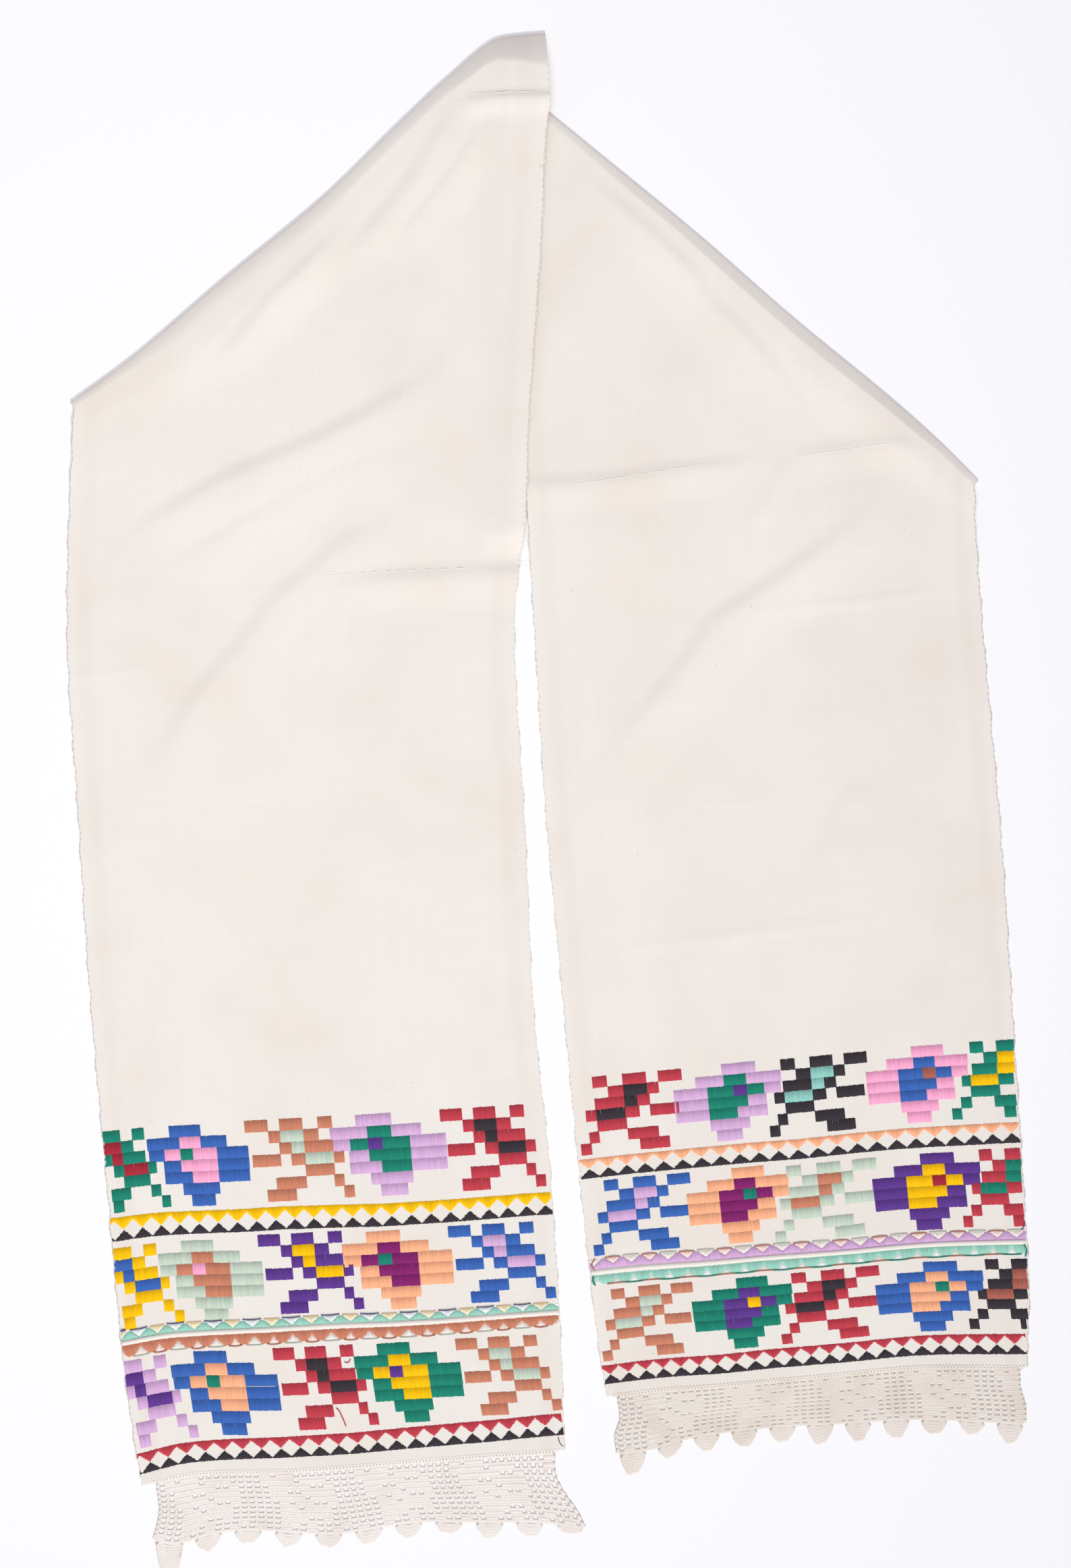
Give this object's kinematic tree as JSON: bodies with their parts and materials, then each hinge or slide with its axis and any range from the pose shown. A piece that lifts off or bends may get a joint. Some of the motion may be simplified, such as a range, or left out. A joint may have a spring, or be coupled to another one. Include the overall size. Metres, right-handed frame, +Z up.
{
  "type": "rushnyk ritual towel",
  "caption": "Long homespun cotton ritual towel folded so both embroidered ends lie side by side, each end edged with scalloped crochet lace.",
  "frame": {"origin": "on the surface that the towel lies on, below the middle of its box", "axes": "+X to the right of someone facing the towel from its lace ends, +Y from the lace toward the folded top, +Z up out of the surface"},
  "size_m": [0.756, 1.2134, 0.0132],
  "materials": {
    "cotton_cloth": "plain-woven off-white homespun cotton with satin-stitch embroidery in cotton yarn",
    "crochet_cotton": "filet crochet of cream cotton thread"
  },
  "bodies": {
    "root": {"cloth": "cotton_cloth", "lace_left": "crochet_cotton", "lace_right": "crochet_cotton"}
  },
  "joints": []
}
